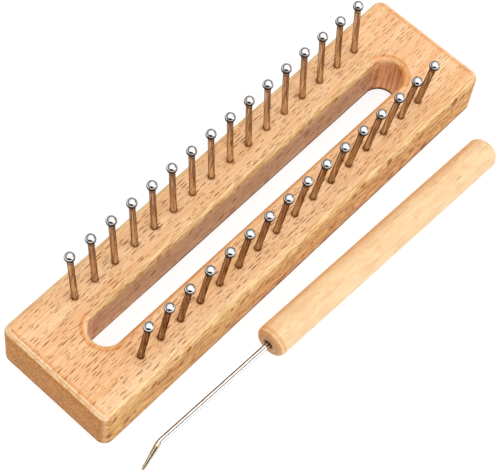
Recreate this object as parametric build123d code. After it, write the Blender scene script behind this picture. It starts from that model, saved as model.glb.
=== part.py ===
from build123d import *
import math
import os

# A small knitting loom and its hook, in millimetres, +Z up.
# The loom lies along X. The underside of the board and the hook's handle rest on Z = 0.
# The origin is the middle of the whole set's footprint, on the surface that it stands on.

# --- Board ------------------------------------------------------------------------------
board_length = 204.0
board_width = 51.4
board_thickness = 20.0
board_corner_radius = 4.0
board_top_round = 2.8
board_bottom_round = 0.6

slot_length = 164.0
slot_width = 13.0
slot_top_round = 2.4
slot_bottom_round = 0.6

# --- Pegs -------------------------------------------------------------------------------
pegs_per_row = 16
peg_pitch = 10.0
row_spacing = 32.0           # between the two rows, at the board's top face
peg_splay = 5.7              # degrees that each peg leans outwards
peg_diameter = 2.4
ball_diameter = 4.0
ball_centre_height = 26.0    # above the board's top face
neck_diameter = 2.1          # the drawn-in ring just under the ball
neck_length = 0.9
peg_depth = 12.0             # pressed into the board, along the peg
peg_end_chamfer = 0.3
press_interference = 0.04    # on diameter

hole_extra_depth = 0.5
hole_mouth_diameter = 3.0
hole_mouth_depth = 0.3

# --- Hook -------------------------------------------------------------------------------
handle_length = 122.0
handle_diameter = 12.7
handle_face_diameter = 9.6   # flat of the end that the wire comes out of
handle_shoulder = 2.4        # length of the rounded shoulder behind that flat
handle_end_round = 4.0
handle_crown = 0.9           # how far the far end is domed

wire_diameter = 2.1
wire_free_length = 54.4      # from the handle to the corner of the bend
wire_depth = 30.0            # pressed into the handle
wire_bend_angle = 34.0
wire_bend_radius = 5.0       # at the wire's centre line
wire_tip_diameter = 1.2
wire_mouth_diameter = 4.2
wire_mouth_depth = 1.2

# Where the hook lies beside the board: the handle's wire end, from the board's middle.
hook_x = -34.9
hook_y = -41.0
hook_turn = -1.8             # degrees about Z, from the board's length
hook_roll = 16.0             # degrees about its own axis, which swings the tip away from the board

top = board_thickness
peg_radius = peg_diameter / 2
ball_radius = ball_diameter / 2
handle_radius = handle_diameter / 2
wire_radius = wire_diameter / 2
tip_radius = wire_tip_diameter / 2
ball_along_peg = ball_centre_height / math.cos(math.radians(peg_splay))
first_peg_x = -peg_pitch * (pegs_per_row - 1) / 2

from_base = (Align.CENTER, Align.CENTER, Align.MIN)
cutter_rise = 1.0            # how far a cutting solid stands out of the face that it cuts
edge_tolerance = 0.01        # for telling which face an edge lies on
outline_margin = 0.05        # for telling the slot's edges from the board's outer ones


def revolved(face):
    """Turn a half profile, drawn in XZ, about Z."""
    return revolve(face, axis=Axis.Z, revolution_arc=360)


def half_profile(*edges):
    """A face in XZ from edges that run from the Z axis round to the Z axis."""
    wire = Wire(edges)
    closing = Line(wire @ 1, wire @ 0)
    return make_face([*edges, closing])


def peg_places():
    """Name and location of every peg: Z runs up the peg, from the board's top face."""
    for row, side in (("back", 1), ("front", -1)):
        for index in range(pegs_per_row):
            x = first_peg_x + index * peg_pitch
            place = Pos(x, side * row_spacing / 2, top) * Rot(-side * peg_splay, 0, 0)
            yield f"{row}_peg_{index + 1:02d}", place


def peg_hole():
    """Blind hole with a small broken edge at its mouth, along -Z from the top face."""
    hole_radius = (peg_diameter - press_interference) / 2
    depth = peg_depth + hole_extra_depth
    hole = Pos(0, 0, -depth) * Cylinder(hole_radius, depth + cutter_rise, align=from_base)
    flare = (hole_mouth_diameter / 2 - hole_radius) / hole_mouth_depth
    mouth_top = hole_mouth_diameter / 2 + flare * cutter_rise
    mouth = Cone(hole_radius, mouth_top, hole_mouth_depth + cutter_rise, align=from_base)
    return hole + Pos(0, 0, -hole_mouth_depth) * mouth


def make_peg():
    """One steel peg: pressed shank, shaft, drawn-in neck and ball head."""
    neck_radius = neck_diameter / 2
    neck_top = ball_along_peg - math.sqrt(ball_radius**2 - neck_radius**2)
    neck_start = neck_top - neck_length
    outline = half_profile(
        Line((0, 0, -peg_depth), (peg_radius - peg_end_chamfer, 0, -peg_depth)),
        Line((peg_radius - peg_end_chamfer, 0, -peg_depth), (peg_radius, 0, -peg_depth + peg_end_chamfer)),
        Line((peg_radius, 0, -peg_depth + peg_end_chamfer), (peg_radius, 0, neck_start)),
        Line((peg_radius, 0, neck_start), (neck_radius, 0, neck_top)),
        ThreePointArc(
            (neck_radius, 0, neck_top), (ball_radius, 0, ball_along_peg), (0, 0, ball_along_peg + ball_radius)
        ),
    )
    return revolved(outline)


def make_board():
    """The slotted board with eased edges and 32 blind peg holes."""
    outline = RectangleRounded(board_length, board_width, board_corner_radius)
    board = extrude(outline, board_thickness)
    board = fillet(board.edges().group_by(Axis.Z)[-1], board_top_round)
    board = fillet(board.edges().group_by(Axis.Z)[0], board_bottom_round)

    slot = extrude(SlotOverall(slot_length, slot_width), board_thickness)
    board -= slot
    inner = [edge for edge in board.edges() if inside_slot_outline(edge)]
    upper = [edge for edge in inner if edge.center().Z > top - edge_tolerance]
    board = fillet(upper, slot_top_round)
    inner = [edge for edge in board.edges() if inside_slot_outline(edge)]
    lower = [edge for edge in inner if edge.center().Z < edge_tolerance]
    board = fillet(lower, slot_bottom_round)

    hole = peg_hole()
    board -= [place * hole for _, place in peg_places()]
    return board


def inside_slot_outline(edge):
    """True for an edge that lies on the slot's wall."""
    box = edge.bounding_box()
    half_length = slot_length / 2 + outline_margin
    half_width = slot_width / 2 + outline_margin
    along = -half_length < box.min.X and box.max.X < half_length
    across = -half_width < box.min.Y and box.max.Y < half_width
    return along and across


def make_handle():
    """The turned handle. Its axis is Z, with the wire's end at Z = 0."""
    face_radius = handle_face_diameter / 2
    drop = handle_radius - face_radius
    shoulder_radius = (handle_shoulder**2 + drop**2) / (2 * drop)
    middle_angle = math.asin(handle_shoulder / shoulder_radius) / 2
    shoulder_middle = (
        handle_radius - shoulder_radius * (1 - math.cos(middle_angle)),
        0,
        handle_shoulder - shoulder_radius * math.sin(middle_angle),
    )
    flat_end = handle_length - handle_crown
    round_middle = handle_end_round * (1 - math.sqrt(0.5))
    crown_edge = handle_radius - handle_end_round
    crown_sphere = (crown_edge**2 + handle_crown**2) / (2 * handle_crown)
    crown_mid_r = crown_edge / 2
    crown_mid_z = handle_length - crown_sphere + math.sqrt(crown_sphere**2 - crown_mid_r**2)
    body = revolved(
        half_profile(
            Line((0, 0, 0), (face_radius, 0, 0)),
            ThreePointArc((face_radius, 0, 0), shoulder_middle, (handle_radius, 0, handle_shoulder)),
            Line((handle_radius, 0, handle_shoulder), (handle_radius, 0, flat_end - handle_end_round)),
            ThreePointArc(
                (handle_radius, 0, flat_end - handle_end_round),
                (handle_radius - round_middle, 0, flat_end - round_middle),
                (crown_edge, 0, flat_end),
            ),
            ThreePointArc((crown_edge, 0, flat_end), (crown_mid_r, 0, crown_mid_z), (0, 0, handle_length)),
        )
    )
    bore_radius = (wire_diameter - press_interference) / 2
    bore = Cylinder(bore_radius, wire_depth + hole_extra_depth, align=from_base)
    mouth = Cone(wire_mouth_diameter / 2, bore_radius, wire_mouth_depth, align=from_base)
    return body - bore - mouth


def make_wire():
    """The hook's wire, in XZ: in the handle below Z = 0, then out along +Z, bent towards +X and tapered."""
    tangent = wire_bend_radius * math.tan(math.radians(wire_bend_angle / 2))
    bend = math.radians(wire_bend_angle)
    straight_end = wire_free_length - tangent
    bend_end = (
        wire_bend_radius * (1 - math.cos(bend)),
        0,
        straight_end + wire_bend_radius * math.sin(bend),
    )
    bend_middle = (
        wire_bend_radius * (1 - math.cos(bend / 2)),
        0,
        straight_end + wire_bend_radius * math.sin(bend / 2),
    )
    # The tip is as long as brings its rounded end down to the table, with the hook rolled as it lies.
    drop = (handle_radius - tip_radius) / math.cos(math.radians(hook_roll))
    drop_left = drop - bend_end[0]
    tip_length = drop_left / math.sin(bend)

    straight = Cylinder(wire_radius, wire_depth + straight_end, align=from_base)
    straight = Pos(0, 0, -wire_depth) * straight
    path = ThreePointArc((0, 0, straight_end), bend_middle, bend_end)
    section = Plane(origin=(0, 0, straight_end), z_dir=(0, 0, 1)) * Circle(wire_radius)
    elbow = sweep(section, path=path)
    tip = revolved(
        half_profile(
            Line((0, 0, 0), (wire_radius, 0, 0)),
            Line((wire_radius, 0, 0), (tip_radius, 0, tip_length)),
            ThreePointArc(
                (tip_radius, 0, tip_length),
                (tip_radius * math.sqrt(0.5), 0, tip_length + tip_radius * math.sqrt(0.5)),
                (0, 0, tip_length + tip_radius),
            ),
        )
    )
    tip = Pos(*bend_end) * Rot(0, wire_bend_angle, 0) * tip
    return straight + elbow + tip


def make_set():
    """Every piece by name, with the board's middle at X = Y = 0."""
    pieces = {"loom_board": make_board()}
    peg = make_peg()
    for name, place in peg_places():
        pieces[name] = place * peg
    # The handle's Z axis is laid down along the board's length, and its wire points back to -X.
    lie = Pos(hook_x, hook_y, handle_radius) * Rot(0, 0, hook_turn)
    pieces["hook_handle"] = lie * Rot(0, 90, 0) * make_handle()
    pieces["hook_wire"] = lie * Rot(0, -90, 0) * Rot(0, 0, 180 + hook_roll) * make_wire()
    return pieces


def main():
    pieces = make_set()
    boxes = [piece.bounding_box() for piece in pieces.values()]
    middle_x = (min(box.min.X for box in boxes) + max(box.max.X for box in boxes)) / 2
    middle_y = (min(box.min.Y for box in boxes) + max(box.max.Y for box in boxes)) / 2
    centred = Pos(-middle_x, -middle_y, 0)
    os.makedirs("parts", exist_ok=True)
    for name, piece in pieces.items():
        placed = centred * piece
        placed.label = name
        export_step(placed, f"parts/{name}.step")
    print("the board's middle is at", round(-middle_x, 4), round(-middle_y, 4))


main()
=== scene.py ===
import math
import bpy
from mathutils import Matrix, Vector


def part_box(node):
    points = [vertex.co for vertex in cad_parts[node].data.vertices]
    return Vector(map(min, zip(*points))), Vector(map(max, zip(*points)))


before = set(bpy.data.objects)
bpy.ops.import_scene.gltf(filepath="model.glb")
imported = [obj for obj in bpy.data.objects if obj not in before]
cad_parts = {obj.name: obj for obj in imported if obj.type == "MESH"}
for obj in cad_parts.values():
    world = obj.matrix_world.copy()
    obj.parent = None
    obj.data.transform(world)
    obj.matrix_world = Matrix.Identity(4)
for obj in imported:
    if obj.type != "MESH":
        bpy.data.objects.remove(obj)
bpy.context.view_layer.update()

from types import SimpleNamespace

import bpy
from mathutils import Matrix, Vector

# A knitting loom and its hook, in metres, in the CAD frame: +X along the board, +Z up and Z = 0 on the
# table. The materials' patterns are laid out in millimetres, and all their colours are linear.
MM = 1000.0

# --- Camera: the photograph's viewing angle -------------------------------------------------
camera_place = Vector((-0.28361, -0.18018, 0.59573))
camera_aim = Vector((0.40841, 0.27505, -0.87037))
camera_roll = 9.83                    # degrees, anticlockwise
camera_lens = 132.6
camera_sensor = 36.0

# --- Sky ------------------------------------------------------------------------------------
# Heights are those of a direction of length 1: 0 at the horizon and 1 overhead.
horizon_height, horizon_glow = 0.18, 0.08
ceiling_height, ceiling_glow = 0.64, 1.38
back_glow = 0.55                      # what is left of the sky's light behind the loom
flag_aim = (-0.83, -0.56, 0.15)       # towards a dark flag, on the camera's side
flag_core = 30.0                      # degrees from the flag's middle, where it is fully dark
flag_edge = 42.0                      # degrees from the flag's middle, where it ends
flag_depth = 0.98

# --- Floor ----------------------------------------------------------------------------------
floor_radius = 4.0
floor_corners = 96
floor_height = -0.0001                # just clear of the undersides that stand on it
floor_grey = 0.26
floor_glow = 0.82

# --- What the patterns on the board and the pegs follow, in millimetres ---------------------
board_low, board_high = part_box("loom_board")
board_middle = (board_low + board_high) / 2
board_origin = (board_middle.x, board_middle.y, 0.0)
half_length = (board_high.x - board_low.x) / 2 * MM
half_width = (board_high.y - board_low.y) / 2 * MM
board_top = board_high.z * MM
corner_radius = 4.0
slot_half_width = 6.5
slot_straight = 75.5                  # from the middle to where the slot's round end starts
grain_turn = math.radians(2.2)        # the grain runs slightly askew of the board
peg_pitch = 10.0
peg_row = 16.0                        # from the middle to each row of pegs, at the board's top
last_peg = 75.0                       # from the middle to the last peg of a row
peg_lean = math.tan(math.radians(5.7))   # how far a peg leans outwards for each millimetre up
ball_middle = board_top + 26.0        # the height of the middle of a peg's ball head
ball_start = ball_middle - 2.3        # the height of the neck under the ball

# --- The hook, whose axis passes through the middle of its handle ---------------------------
handle_low, handle_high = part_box("hook_handle")
handle_middle = tuple((handle_low + handle_high) / 2)
hook_turn = math.radians(-1.8)        # about Z, from the board's length
wire_start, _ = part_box("hook_wire")   # the tip's end of the wire

# --- Bump of the wood's fibres --------------------------------------------------------------
bump_strength = 0.4
bump_depth = 0.00012                  # metres


# --- Small helpers for node trees -----------------------------------------------------------
class Graph:
    """The node tree of a material or the world, built one node at a time."""

    def __init__(self, owner):
        owner.use_nodes = True
        self.owner = owner
        self.tree = owner.node_tree
        self.tree.nodes.clear()

    def add(self, kind, settings=None, **inputs):
        """A new node. An input is a number, a colour or vector, or another node's socket."""
        node = self.tree.nodes.new(kind)
        for key, value in (settings or {}).items():
            setattr(node, key, value)
        for key, value in inputs.items():
            self.put(node, key, value)
        return node

    def put(self, node, key, value):
        """Set an input by its name, with _ for a space, or by its number, as i0."""
        name = key.replace("_", " ")
        if name[0] == "i" and name[1:].isdigit():
            socket = node.inputs[int(name[1:])]
        else:
            socket = node.inputs[name]
        if isinstance(value, bpy.types.NodeSocket):
            self.tree.links.new(value, socket)
        else:
            socket.default_value = value

    def math(self, operation, a, b=0.0, c=0.0):
        return self.add("ShaderNodeMath", {"operation": operation}, i0=a, i1=b, i2=c).outputs[0]

    def product(self, *factors):
        result = factors[0]
        for factor in factors[1:]:
            result = self.math("MULTIPLY", result, factor)
        return result

    def total(self, *terms):
        result = terms[0]
        for term in terms[1:]:
            result = self.math("ADD", result, term)
        return result

    def most(self, *values):
        result = values[0]
        for value in values[1:]:
            result = self.math("MAXIMUM", result, value)
        return result

    def less(self, a, b):
        return self.math("SUBTRACT", a, b)

    def inverse(self, value):
        return self.less(1.0, value)

    def size(self, value):
        """value without its sign."""
        return self.math("ABSOLUTE", value)

    def length(self, a, b):
        return self.math("SQRT", self.total(self.product(a, a), self.product(b, b)))

    def vector(self, operation, a, b=(0.0, 0.0, 0.0)):
        node = self.add("ShaderNodeVectorMath", {"operation": operation}, i0=a, i1=b)
        return node.outputs["Value" if operation in ("LENGTH", "DOT_PRODUCT") else "Vector"]

    def split(self, vector):
        node = self.add("ShaderNodeSeparateXYZ", Vector=vector)
        return node.outputs[0], node.outputs[1], node.outputs[2]

    def ramp(self, value, low, high, to_low=0.0, to_high=1.0):
        """value, mapped smoothly from low..high to to_low..to_high."""
        node = self.add("ShaderNodeMapRange", {"interpolation_type": "SMOOTHSTEP"}, Value=value)
        node.inputs["From Min"].default_value = low
        node.inputs["From Max"].default_value = high
        node.inputs["To Min"].default_value = to_low
        node.inputs["To Max"].default_value = to_high
        return node.outputs["Result"]

    def band(self, value, low, high, soft):
        """1 between low and high, fading to 0 over soft on both sides."""
        return self.product(self.ramp(value, low - soft, low), self.ramp(value, high + soft, high))

    def mix(self, amount, a, b, strength=1.0, blend="MIX"):
        """a, with b laid over it where amount is 1, at this strength."""
        if strength < 1.0:
            amount = self.product(amount, strength)
        settings = {"data_type": "RGBA", "blend_type": blend}
        return self.add("ShaderNodeMix", settings, i0=amount, i6=a, i7=b).outputs[2]

    def tint(self, amount, colour, factor, strength=1.0):
        """colour, multiplied by the colour factor where amount is 1, at this strength."""
        return self.mix(amount, colour, rgb(*factor), strength, "MULTIPLY")

    def noise(self, position, per_mm, detail=3.0, roughness=0.5, distortion=0.0):
        """Noise from 0 to 1, with its own frequency along each axis."""
        node = self.add("ShaderNodeTexNoise", Vector=self.vector("MULTIPLY", position, per_mm))
        node.inputs["Scale"].default_value = 1.0
        node.inputs["Detail"].default_value = detail
        node.inputs["Roughness"].default_value = roughness
        node.inputs["Distortion"].default_value = distortion
        return node.outputs["Fac"]

    def bump(self, height, strength, distance):
        node = self.add("ShaderNodeBump", Height=height)
        node.inputs["Strength"].default_value = strength
        node.inputs["Distance"].default_value = distance
        return node.outputs[0]

    def finish(self, shader):
        """Make shader the material's surface, and return the material."""
        self.add("ShaderNodeOutputMaterial", Surface=shader.outputs[0])
        return self.owner


def new_material(name):
    return Graph(bpy.data.materials.new(name))


def rgb(red, green, blue):
    return (red, green, blue, 1.0)


def millimetres(g, origin, turn=0.0):
    """The position in millimetres from origin, with X turned by turn about Z."""
    where = g.add("ShaderNodeTexCoord")
    place = g.add("ShaderNodeMapping", {"vector_type": "TEXTURE"}, Vector=where.outputs["Object"])
    place.inputs["Location"].default_value = origin
    place.inputs["Rotation"].default_value = (0.0, 0.0, turn)
    return g.vector("MULTIPLY", place.outputs[0], (MM, MM, MM))


def facing(g):
    """How far the surface faces each axis, from 0 to 1, whichever way along it."""
    normal = g.add("ShaderNodeTexCoord").outputs["Normal"]
    return g.split(g.vector("ABSOLUTE", normal))


# --- Wood -----------------------------------------------------------------------------------
def flecks(g, position, cell, size, seed, keep):
    """Lens-shaped marks from 0 to 1, at most one to a cell. size is half a mark's length on each axis."""
    scaled = g.vector("DIVIDE", g.vector("ADD", position, seed), cell)
    cells = g.add("ShaderNodeTexVoronoi", {"feature": "F1"}, Vector=scaled)
    cells.inputs["Scale"].default_value = 1.0
    offset = g.vector("SUBTRACT", scaled, cells.outputs["Position"])
    stretch = tuple(along / half for along, half in zip(cell, size))
    reach = g.vector("LENGTH", g.vector("MULTIPLY", offset, stretch))
    lot = g.add("ShaderNodeSeparateColor", Color=cells.outputs["Color"])
    full_size = g.ramp(lot.outputs[0], 0.0, 1.0, 0.5, 1.2)
    shape = g.ramp(g.math("DIVIDE", reach, full_size), 1.0, 0.7)
    kept = g.math("LESS_THAN", lot.outputs[1], keep)
    return g.product(shape, kept, g.ramp(lot.outputs[2], 0.0, 1.0, 0.7, 1.0))


def figure(g, grain):
    """Broad bands, fibres and fine pores along the grain, each from 0 to 1."""
    broad = g.ramp(g.noise(grain, (0.007, 0.10, 0.10), detail=2.0), 0.35, 0.65)
    fibre = g.noise(grain, (0.045, 1.1, 1.1), detail=4.0, roughness=0.62, distortion=0.4)
    fibre = g.ramp(fibre, 0.36, 0.64)
    pores = g.ramp(g.noise(grain, (0.30, 4.2, 4.2), detail=2.0), 0.46, 0.62)
    return broad, fibre, pores


def wood_shader(g, colour, relief, rough, gloss, coat):
    shader = g.add("ShaderNodeBsdfPrincipled", Base_Color=colour, Roughness=rough)
    g.put(shader, "Normal", g.bump(relief, bump_strength, bump_depth))
    shader.inputs["IOR"].default_value = 1.45
    shader.inputs["Specular IOR Level"].default_value = gloss
    shader.inputs["Coat Weight"].default_value = coat
    shader.inputs["Coat Roughness"].default_value = 0.2
    return shader


def from_outline(g, x, y):
    """Millimetres in from the board's rounded outline, seen from above."""
    past_x = g.less(g.size(x), half_length - corner_radius)
    past_y = g.less(g.size(y), half_width - corner_radius)
    corner = g.length(g.most(past_x, 0.0), g.most(past_y, 0.0))
    inner = g.math("MINIMUM", g.most(past_x, past_y), 0.0)
    return g.less(corner_radius, g.total(corner, inner))


def from_slot(g, x, y):
    """Millimetres out from the slot's wall, seen from above."""
    past_x = g.most(g.less(g.size(x), slot_straight), 0.0)
    return g.less(g.length(past_x, y), slot_half_width)


def from_peg(g, x, y):
    """Millimetres from the middle of the nearest peg, seen from above, and far more past a row's end."""
    along = g.math("WRAP", g.total(x, peg_pitch / 2), peg_pitch / 2, -peg_pitch / 2)
    across = g.less(g.size(y), peg_row)
    past_last = g.most(g.less(g.size(x), last_peg + peg_pitch / 2), 0.0)
    return g.total(g.length(along, across), g.product(past_last, peg_pitch))


def board_regions(g):
    """Coordinates and distances on the board in millimetres, and masks that are 1 in their region."""
    place = millimetres(g, board_origin)
    grain = millimetres(g, board_origin, grain_turn)
    x, y, z = g.split(place)
    to_end, to_side, to_top = facing(g)
    return SimpleNamespace(
        place=place,
        grain=grain,
        x=x,
        y=y,
        z=z,
        rim=from_outline(g, x, y),
        wall=from_slot(g, x, y),
        on_end=g.ramp(to_end, 0.6, 0.95),
        on_side=g.ramp(to_side, 0.6, 0.95),
        on_top=g.ramp(to_top, 0.6, 0.95),
        near_end=g.ramp(g.size(x), half_length - corner_radius, half_length - 2.0),
        round_end=g.ramp(g.size(x), slot_straight, slot_straight + 2.0),
        upper=g.ramp(z, board_top - 5.0, board_top - 2.0),
    )


def board_faces(g, at, broad, fibre, pores):
    """The bare wood of the board's top, its sides and its ends."""
    tone = g.total(g.product(broad, 0.40), g.product(fibre, 0.60))
    top = g.mix(tone, rgb(0.97, 0.65, 0.385), rgb(0.80, 0.41, 0.185))
    top = g.mix(pores, top, rgb(0.60, 0.28, 0.10), strength=0.22)

    # The sides are yellower, with a flame along the board and short veins in it.
    flame = g.noise(at.grain, (0.06, 0.3, 0.50), detail=4.0, roughness=0.65, distortion=1.4)
    vein = g.noise(at.grain, (0.20, 1.5, 1.9), detail=3.0, roughness=0.6, distortion=0.8)
    side = g.mix(g.ramp(flame, 0.44, 0.57), rgb(1.0, 0.60, 0.19), rgb(0.62, 0.25, 0.055))
    side = g.mix(fibre, side, rgb(0.50, 0.22, 0.05), strength=0.50)
    side = g.mix(g.ramp(vein, 0.51, 0.58), side, rgb(0.34, 0.12, 0.03), strength=0.72)

    # The ends are end grain, which is darker and mottled.
    speckle = g.noise(at.place, (1.2, 0.9, 1.7), detail=4.0, roughness=0.65)
    end = g.mix(g.ramp(speckle, 0.34, 0.66), rgb(0.80, 0.34, 0.08), rgb(0.40, 0.145, 0.025))
    return g.mix(at.on_end, g.mix(at.on_side, top, side), end)


def slot_inside(g, at, colour):
    """The slot's wall: painted shade, dull and greyish, along the board, with upright scorch marks at the
    round ends.
    """
    inside = g.product(g.ramp(at.wall, 0.9, 0.2), g.ramp(at.z, board_top - 1.0, board_top - 2.2))
    # The straight walls are painted dull and dark, as shade inside the slot.
    dull = g.mix(at.round_end, rgb(0.62, 0.37, 0.22), rgb(0.96, 0.53, 0.27))
    cover = g.ramp(at.round_end, 0.0, 1.0, 0.6, 0.85)
    colour = g.mix(g.product(inside, cover), colour, dull)
    scorch = g.ramp(g.noise(at.place, (0.8, 0.8, 0.04), detail=2.0), 0.50, 0.60)
    marks = g.product(inside, at.round_end, scorch)
    return g.tint(marks, colour, (0.62, 0.46, 0.34), strength=0.8)


def edge_light_and_shade(g, at, colour):
    """Painted highlights and shade on the board's edges, darker lines round its ends, and a painted
    contact shadow at the foot of its sides.
    """
    # A pale streaky painted highlight runs along the board, on its outer edges and on the slot's back
    # edge.
    streak = g.ramp(g.noise(at.grain, (0.14, 2.0, 2.0), roughness=0.65), 0.42, 0.58)
    pale = g.mix(streak, rgb(0.95, 0.74, 0.39), rgb(0.60, 0.29, 0.10))
    back_lip = g.band(at.wall, -0.5, 1.6, 0.9)
    back_lip = g.product(back_lip, g.ramp(at.y, 0.0, 1.0), g.inverse(at.round_end))
    along_edge = g.most(g.ramp(at.rim, 2.7, 1.7), back_lip)
    long_edge_highlight = g.product(along_edge, at.upper, g.inverse(at.near_end))
    colour = g.mix(long_edge_highlight, colour, pale, strength=0.62)

    # The slot's front edge is painted darker, as shade, and a line round each end is darker too.
    front_lip_shade = g.product(g.band(at.wall, -0.5, 1.2, 0.5), g.ramp(at.y, 0.0, -1.0), at.upper)
    colour = g.tint(front_lip_shade, colour, (0.95, 0.72, 0.48))
    # Darker lines round each end of the board and of the slot.
    board_end_band = g.product(g.band(at.rim, 2.3, 3.2, 0.4), at.near_end)
    slot_end_band = g.product(g.band(at.wall, 2.0, 2.7, 0.5), at.round_end)
    end_bands = g.product(g.most(board_end_band, slot_end_band), at.on_top)
    colour = g.tint(end_bands, colour, (0.86, 0.62, 0.40), strength=0.8)

    # The -X end has painted highlights: two broken pale lines round the board's edge and one round the
    # slot's.
    outer_lines = g.most(g.band(at.rim, 1.75, 2.05, 0.2), g.band(at.rim, 0.65, 0.95, 0.2))
    outer_lines = g.product(outer_lines, at.near_end, at.upper)
    slot_line = g.product(g.band(at.wall, 0.5, 0.9, 0.25), at.round_end, at.upper)
    broken = g.ramp(g.noise(at.place, (0.8, 0.5, 0.8), detail=2.0), 0.36, 0.52)
    highlit_end = g.ramp(at.x, 0.0, -40.0)
    end_highlights = g.product(g.most(outer_lines, slot_line), broken, highlit_end)
    colour = g.mix(end_highlights, colour, rgb(1.0, 0.82, 0.52), strength=0.68)

    # The foot of the sides is painted dark, as contact shadow, and less so towards the -X end.
    foot = g.product(g.ramp(at.z, 2.0, 1.3), g.inverse(at.on_top), g.ramp(at.x, -65.0, -35.0, 0.25, 1.0))
    return g.tint(foot, colour, (0.20, 0.14, 0.10))


def ray_flecks(g, at):
    """The beech's dark flecks, from 0 to 1: dashes on top, broader and slanted marks on the sides."""
    through = 60.0                    # long enough for a mark not to vary along that axis
    slant = -0.45
    dashes = flecks(
        g, at.grain, cell=(4.8, 1.15, 9.0), size=(1.8, 0.175, through), seed=(3.0, 5.0, 2.0), keep=0.66
    )
    small = flecks(
        g, at.grain, cell=(3.4, 0.95, 6.0), size=(1.2, 0.12, through), seed=(31.0, 17.0, 9.0), keep=0.25
    )
    along = g.total(at.x, g.product(at.z, slant))
    slanted = g.add("ShaderNodeCombineXYZ", X=along, Y=at.y, Z=at.z).outputs[0]
    wide = flecks(
        g, slanted, cell=(9.0, 9.0, 5.0), size=(1.5, through, 1.5), seed=(11.0, 2.0, 7.0), keep=0.60
    )
    short = flecks(
        g, slanted, cell=(4.0, 7.0, 1.8), size=(1.5, through, 0.32), seed=(5.0, 23.0, 4.0), keep=0.60
    )
    off_rim = g.product(g.ramp(at.rim, 1.4, 3.0), g.ramp(at.wall, 0.8, 2.4))
    fainter = g.ramp(at.x, 20.0, 85.0, 1.0, 0.7)
    on_top = g.product(g.most(dashes, g.product(small, 0.7)), at.on_top, off_rim, fainter)
    off_slot = g.ramp(at.wall, -1.0, 1.0, 0.5, 1.0)
    on_side = g.product(g.most(wide, g.product(short, 0.8)), at.on_side, off_slot)
    return on_top, on_side


def board_wood():
    """Varnished beech, with flecks, painted highlights and shade on its edges, and a ring of painted shade
    where each peg goes in.
    """
    g = new_material("varnished_beech")
    at = board_regions(g)
    broad, fibre, pores = figure(g, at.grain)
    colour = board_faces(g, at, broad, fibre, pores)
    colour = slot_inside(g, at, colour)
    colour = edge_light_and_shade(g, at, colour)
    top_marks, side_marks = ray_flecks(g, at)
    colour = g.mix(top_marks, colour, rgb(0.20, 0.055, 0.01))
    colour = g.mix(side_marks, colour, rgb(0.33, 0.085, 0.015))
    # A ring of painted shade darkens the top round each peg's foot.
    peg_foot_shade = g.product(g.ramp(from_peg(g, at.x, at.y), 2.1, 1.3), at.on_top)
    colour = g.tint(peg_foot_shade, colour, (0.55, 0.40, 0.30), strength=0.5)

    marks = g.most(top_marks, side_marks)
    relief = g.less(g.product(fibre, 0.25), g.product(marks, 0.8))
    rough = g.total(g.product(fibre, 0.14), g.product(marks, 0.12), 0.36)
    return g.finish(wood_shader(g, colour, relief, rough, gloss=0.07, coat=0.03))


def handle_wood():
    """Pale turned beech, satin, with faint mottling, two rings near its wire end, painted shade on the
    side towards the board, and a bore painted dark as shade.
    """
    g = new_material("turned_beech")
    grain = millimetres(g, handle_middle, hook_turn)
    x, y, z = g.split(grain)
    to_end, _, _ = facing(g)
    out = g.length(y, z)
    start = -(handle_high.x - handle_low.x) / 2 * MM

    broad, fibre, pores = figure(g, g.vector("ADD", grain, (40.0, 13.0, 71.0)))
    mottle = g.noise(grain, (0.13, 0.30, 0.30), detail=3.0, roughness=0.6, distortion=0.8)
    mottle = g.ramp(mottle, 0.38, 0.62)
    tone = g.total(g.product(broad, 0.25), g.product(fibre, 0.35), g.product(mottle, 0.40))
    colour = g.mix(tone, rgb(0.94, 0.70, 0.405), rgb(0.80, 0.485, 0.255))
    colour = g.mix(pores, colour, rgb(0.72, 0.42, 0.20), strength=0.14)
    dashes = flecks(
        g, grain, cell=(6.0, 2.0, 2.0), size=(1.8, 0.26, 0.26), seed=(8.0, 3.0, 6.0), keep=0.45
    )
    colour = g.mix(dashes, colour, rgb(0.48, 0.22, 0.08), strength=0.7)
    # The side towards the board is a deeper orange: painted shade from the board.
    colour = g.tint(g.ramp(y, 2.5, 6.0), colour, (0.95, 0.78, 0.60))

    shoulder = g.band(x, start + 2.0, start + 2.9, 0.35)
    colour = g.tint(shoulder, colour, (0.86, 0.62, 0.42), strength=0.65)
    face_edge = g.band(x, start + 0.3, start + 1.0, 0.3)
    colour = g.tint(face_edge, colour, (0.78, 0.52, 0.32), strength=0.8)
    # The end faces show end grain, in rings from the lathe.
    end = g.tint(1.0, colour, (0.82, 0.70, 0.56))
    lathe = g.ramp(g.math("SINE", g.product(out, 3.4)), -0.2, 0.9)
    end = g.mix(lathe, end, rgb(0.36, 0.19, 0.08), strength=0.45)
    colour = g.mix(g.ramp(to_end, 0.80, 0.97), colour, end)
    # The bore's mouth round the wire is painted dark, as shade in the hollow.
    bore = g.product(g.ramp(out, 2.5, 1.7), g.ramp(x, start + 4.0, start + 2.2))
    colour = g.tint(bore, colour, (0.28, 0.18, 0.12), strength=0.95)

    relief = g.less(g.product(fibre, 0.18), g.product(dashes, 0.5))
    rough = g.total(g.product(mottle, 0.12), 0.38)
    return g.finish(wood_shader(g, colour, relief, rough, gloss=0.30, coat=0.08))


# --- Steel ----------------------------------------------------------------------------------
def steel_shader(g, colour, rough):
    """Polished steel, which turns dark where it is seen edge on."""
    shader = g.add("ShaderNodeBsdfPrincipled", Base_Color=colour, Roughness=rough)
    shader.inputs["Metallic"].default_value = 1.0
    shader.inputs["Specular Tint"].default_value = rgb(0.08, 0.07, 0.06)
    return shader


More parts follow.
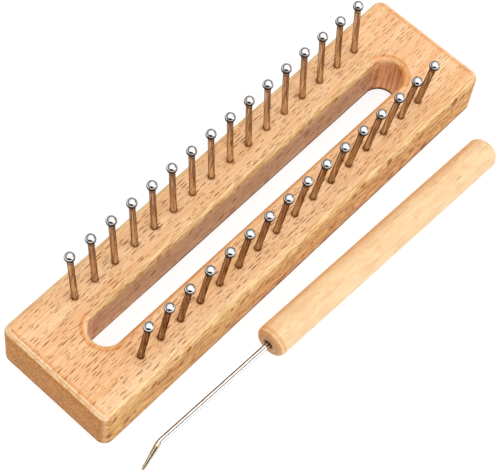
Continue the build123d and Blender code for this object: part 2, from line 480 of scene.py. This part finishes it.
def peg_steel():
    """A bright ball head with a painted dark reflection round it, on a browner drawn shaft whose brown is
    painted reflection of the wood, with painted shade at its neck, its foot and its outer side.
    """
    g = new_material("polished_pegs")
    place = millimetres(g, board_origin)
    _, y, z = g.split(place)
    drawn = g.ramp(g.noise(place, (2.2, 2.2, 0.05), roughness=0.6), 0.38, 0.62)
    # The shaft's brown is painted reflection of the wood; the drawn streaks are the steel's own.
    shaft = g.mix(drawn, rgb(0.86, 0.72, 0.56), rgb(0.46, 0.33, 0.23))
    # Painted shade darkens the shaft's foot, where it goes into the board.
    shaft = g.tint(g.ramp(z, board_top + 1.8, board_top + 0.2), shaft, (0.72, 0.60, 0.50))

    # The side that faces away from the slot is painted darker, as shade, and most of all near the ball.
    axis = g.total(g.product(z, peg_lean), peg_row - board_top * peg_lean)
    outwards = g.ramp(g.less(g.size(y), axis), 0.0, 0.6)
    outer_side_shade = g.product(outwards, g.ramp(z, board_top + 3.0, board_top + 16.0, 0.2, 1.0))
    shaft = g.tint(outer_side_shade, shaft, (0.62, 0.47, 0.35))

    smudge = g.ramp(g.noise(place, (0.45, 0.45, 0.30), detail=2.0), 0.4, 0.7)
    ball = g.mix(smudge, rgb(0.78, 0.77, 0.76), rgb(0.70, 0.69, 0.67))
    on_ball = g.ramp(z, ball_start, ball_start + 0.5)
    colour = g.mix(on_ball, shaft, ball)
    # Painted shade darkens the neck, where the ball meets the shaft.
    neck = g.band(z, ball_start - 0.6, ball_start + 0.5, 0.4)
    colour = g.tint(neck, colour, (0.25, 0.18, 0.14), strength=0.6)
    # A painted dark reflection runs round the ball's middle.
    ball_dark_reflection = g.band(z, ball_middle - 0.8, ball_middle + 0.3, 0.8)
    colour = g.tint(ball_dark_reflection, colour, (0.14, 0.125, 0.115))
    return g.finish(steel_shader(g, colour, g.ramp(on_ball, 0.0, 1.0, 0.26, 0.05)))


def wire_steel():
    """Drawn wire, bright along its length and ground to a duller, yellower tip, with painted dark
    reflections along it.
    """
    g = new_material("polished_wire")
    place = millimetres(g, (0.0, 0.0, 0.0))
    x, _, z = g.split(place)
    drawn = g.ramp(g.noise(place, (0.05, 2.4, 2.4), roughness=0.6), 0.4, 0.7)
    bright = g.mix(drawn, rgb(0.95, 0.94, 0.93), rgb(0.82, 0.80, 0.78))
    ground = g.ramp(g.noise(place, (2.6, 0.5, 0.5), detail=2.0), 0.4, 0.6)
    tip = g.mix(ground, rgb(0.86, 0.74, 0.56), rgb(0.62, 0.50, 0.34))
    tip_end = wire_start.x * MM
    on_tip = g.ramp(x, tip_end + 9.8, tip_end + 8.6)
    colour = g.mix(on_tip, bright, tip)

    # A painted dark reflection line runs along the wire, high on its front, and the side towards the board
    # is painted dark, as a dark reflection.
    _, across, _ = g.split(millimetres(g, handle_middle, hook_turn))
    upper = g.ramp(z, 6.3, 6.5)
    line = g.product(g.band(across, -0.66, -0.22, 0.08), upper, g.inverse(on_tip))
    colour = g.mix(line, colour, rgb(0.16, 0.15, 0.14))
    colour = g.tint(g.ramp(across, 0.40, 0.62), colour, (0.13, 0.145, 0.17))
    return g.finish(steel_shader(g, colour, g.ramp(on_tip, 0.0, 1.0, 0.05, 0.20)))


def wear(material, *nodes):
    """Put the material in every slot of these CAD nodes."""
    for name in nodes:
        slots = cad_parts[name].data.materials
        slots.clear()
        slots.append(material)


# --- Surroundings ---------------------------------------------------------------------------
def make_camera():
    camera = bpy.data.cameras.new("camera")
    camera.lens = camera_lens
    camera.sensor_width = camera_sensor
    camera.clip_start = 0.01
    camera.clip_end = 50.0
    holder = bpy.data.objects.new("camera", camera)
    bpy.context.scene.collection.objects.link(holder)
    forward = camera_aim.normalized()
    level = forward.cross(Vector((0, 0, 1))).normalized()
    upright = level.cross(forward)
    turn = math.radians(camera_roll)
    right = level * math.cos(turn) + upright * math.sin(turn)
    up = right.cross(forward)
    axes = Matrix((right, up, -forward)).transposed().to_4x4()
    holder.matrix_world = Matrix.Translation(camera_place) @ axes
    bpy.context.scene.camera = holder


def make_floor():
    """A round table top of backlit white, which stays white in the board's slot too."""
    mesh = bpy.data.meshes.new("floor")
    angles = [2 * math.pi * corner / floor_corners for corner in range(floor_corners)]
    rim = [(floor_radius * math.cos(turn), floor_radius * math.sin(turn), floor_height) for turn in angles]
    mesh.from_pydata(rim, [], [list(range(floor_corners))])
    floor = bpy.data.objects.new("floor", mesh)
    bpy.context.scene.collection.objects.link(floor)
    g = new_material("floor_white")
    shader = g.add("ShaderNodeBsdfPrincipled")
    shader.inputs["Base Color"].default_value = rgb(floor_grey, floor_grey, floor_grey)
    shader.inputs["Roughness"].default_value = 0.9
    shader.inputs["Emission Color"].default_value = rgb(1.0, 1.0, 1.0)
    shader.inputs["Emission Strength"].default_value = floor_glow
    mesh.materials.append(g.finish(shader))


def area_light(name, place, size, power):
    """A soft box that faces the object."""
    light = bpy.data.lights.new(name, "AREA")
    light.shape = "RECTANGLE"
    light.size, light.size_y = size
    light.energy = power
    holder = bpy.data.objects.new(name, light)
    bpy.context.scene.collection.objects.link(holder)
    holder.location = place
    holder.rotation_euler = (-Vector(place)).to_track_quat("-Z", "Y").to_euler()


def make_sky():
    """A bright ceiling over a dark horizon, with a dark flag, which together outline the steel."""
    world = bpy.data.worlds.new("studio")
    bpy.context.scene.world = world
    sky = Graph(world)
    direction = sky.add("ShaderNodeTexCoord").outputs["Generated"]
    _, back, height = sky.split(direction)
    bright = sky.ramp(height, horizon_height, ceiling_height, horizon_glow, ceiling_glow)
    bright = sky.product(bright, sky.ramp(back, -0.2, 0.9, 1.0, back_glow))
    near = sky.vector("DOT_PRODUCT", direction, tuple(Vector(flag_aim).normalized()))
    edge, core = (math.cos(math.radians(angle)) for angle in (flag_edge, flag_core))
    flag = sky.product(sky.ramp(near, edge, core), flag_depth)
    bright = sky.product(bright, sky.inverse(flag))
    shade = sky.add("ShaderNodeBackground", Color=rgb(1.0, 1.0, 1.0), Strength=bright)
    sky.add("ShaderNodeOutputWorld", Surface=shade.outputs[0])


def make_lights():
    area_light("overhead", place=(0.05, 0.15, 1.3), size=(1.3, 1.3), power=3.6)
    area_light("key", place=(0.42, -1.30, 0.52), size=(0.9, 0.35), power=4.5)
    make_sky()


def main():
    make_camera()
    make_floor()
    make_lights()
    pegs = [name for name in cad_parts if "_peg_" in name]
    wear(board_wood(), "loom_board")
    wear(handle_wood(), "hook_handle")
    wear(peg_steel(), *pegs)
    wear(wire_steel(), "hook_wire")
    bpy.context.scene.view_settings.view_transform = "Standard"


main()
